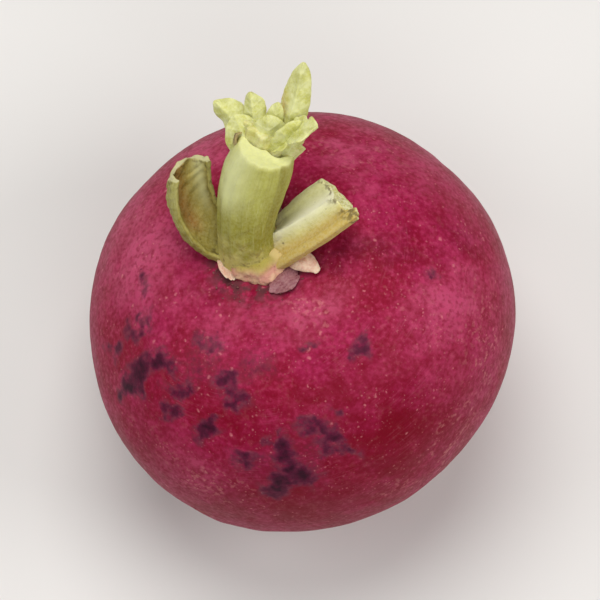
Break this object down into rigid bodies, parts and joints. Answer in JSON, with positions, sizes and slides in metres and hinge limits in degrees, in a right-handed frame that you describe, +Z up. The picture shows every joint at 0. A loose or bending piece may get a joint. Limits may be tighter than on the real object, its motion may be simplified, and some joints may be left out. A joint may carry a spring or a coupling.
{
  "type": "red radish",
  "caption": "Round red radish root with a trimmed tap root and short cut leaf stalks round a tuft of young leaves; a root vegetable that lies on a small flat spot.",
  "frame": {"origin": "on the surface that the radish lies on, under the middle of its outline seen from above", "axes": "+Z up; the crown leans towards -X and a little towards +Y; the tap root points down towards +X and -Y"},
  "size_m": [0.0751, 0.0747, 0.0859],
  "materials": {
    "root_skin": "thin matt crimson skin, finely speckled, with pale scratches and purple-black blotches",
    "crown": "dull, pale green to pinkish cream, with brown scurf",
    "green_stalk": "satin yellow-green with fine ribs and a pale cut end",
    "pale_stalk": "satin pale green, yellow underneath, with a dark dried rim at the cut",
    "withered_stalk": "dull olive-brown, withered and wrinkled, with pale edges",
    "young_leaf": "satin pale yellow-green with fine veins",
    "bract": "soft pinkish cream"
  },
  "bodies": {
    "root": {"radish_root": "root_skin", "crown": "crown", "stalk_middle": "green_stalk", "stalk_right": "pale_stalk", "stalk_left": "withered_stalk", "stalk_back": "green_stalk", "young_leaves": "young_leaf", "pink_bract": "bract"}
  },
  "joints": []
}
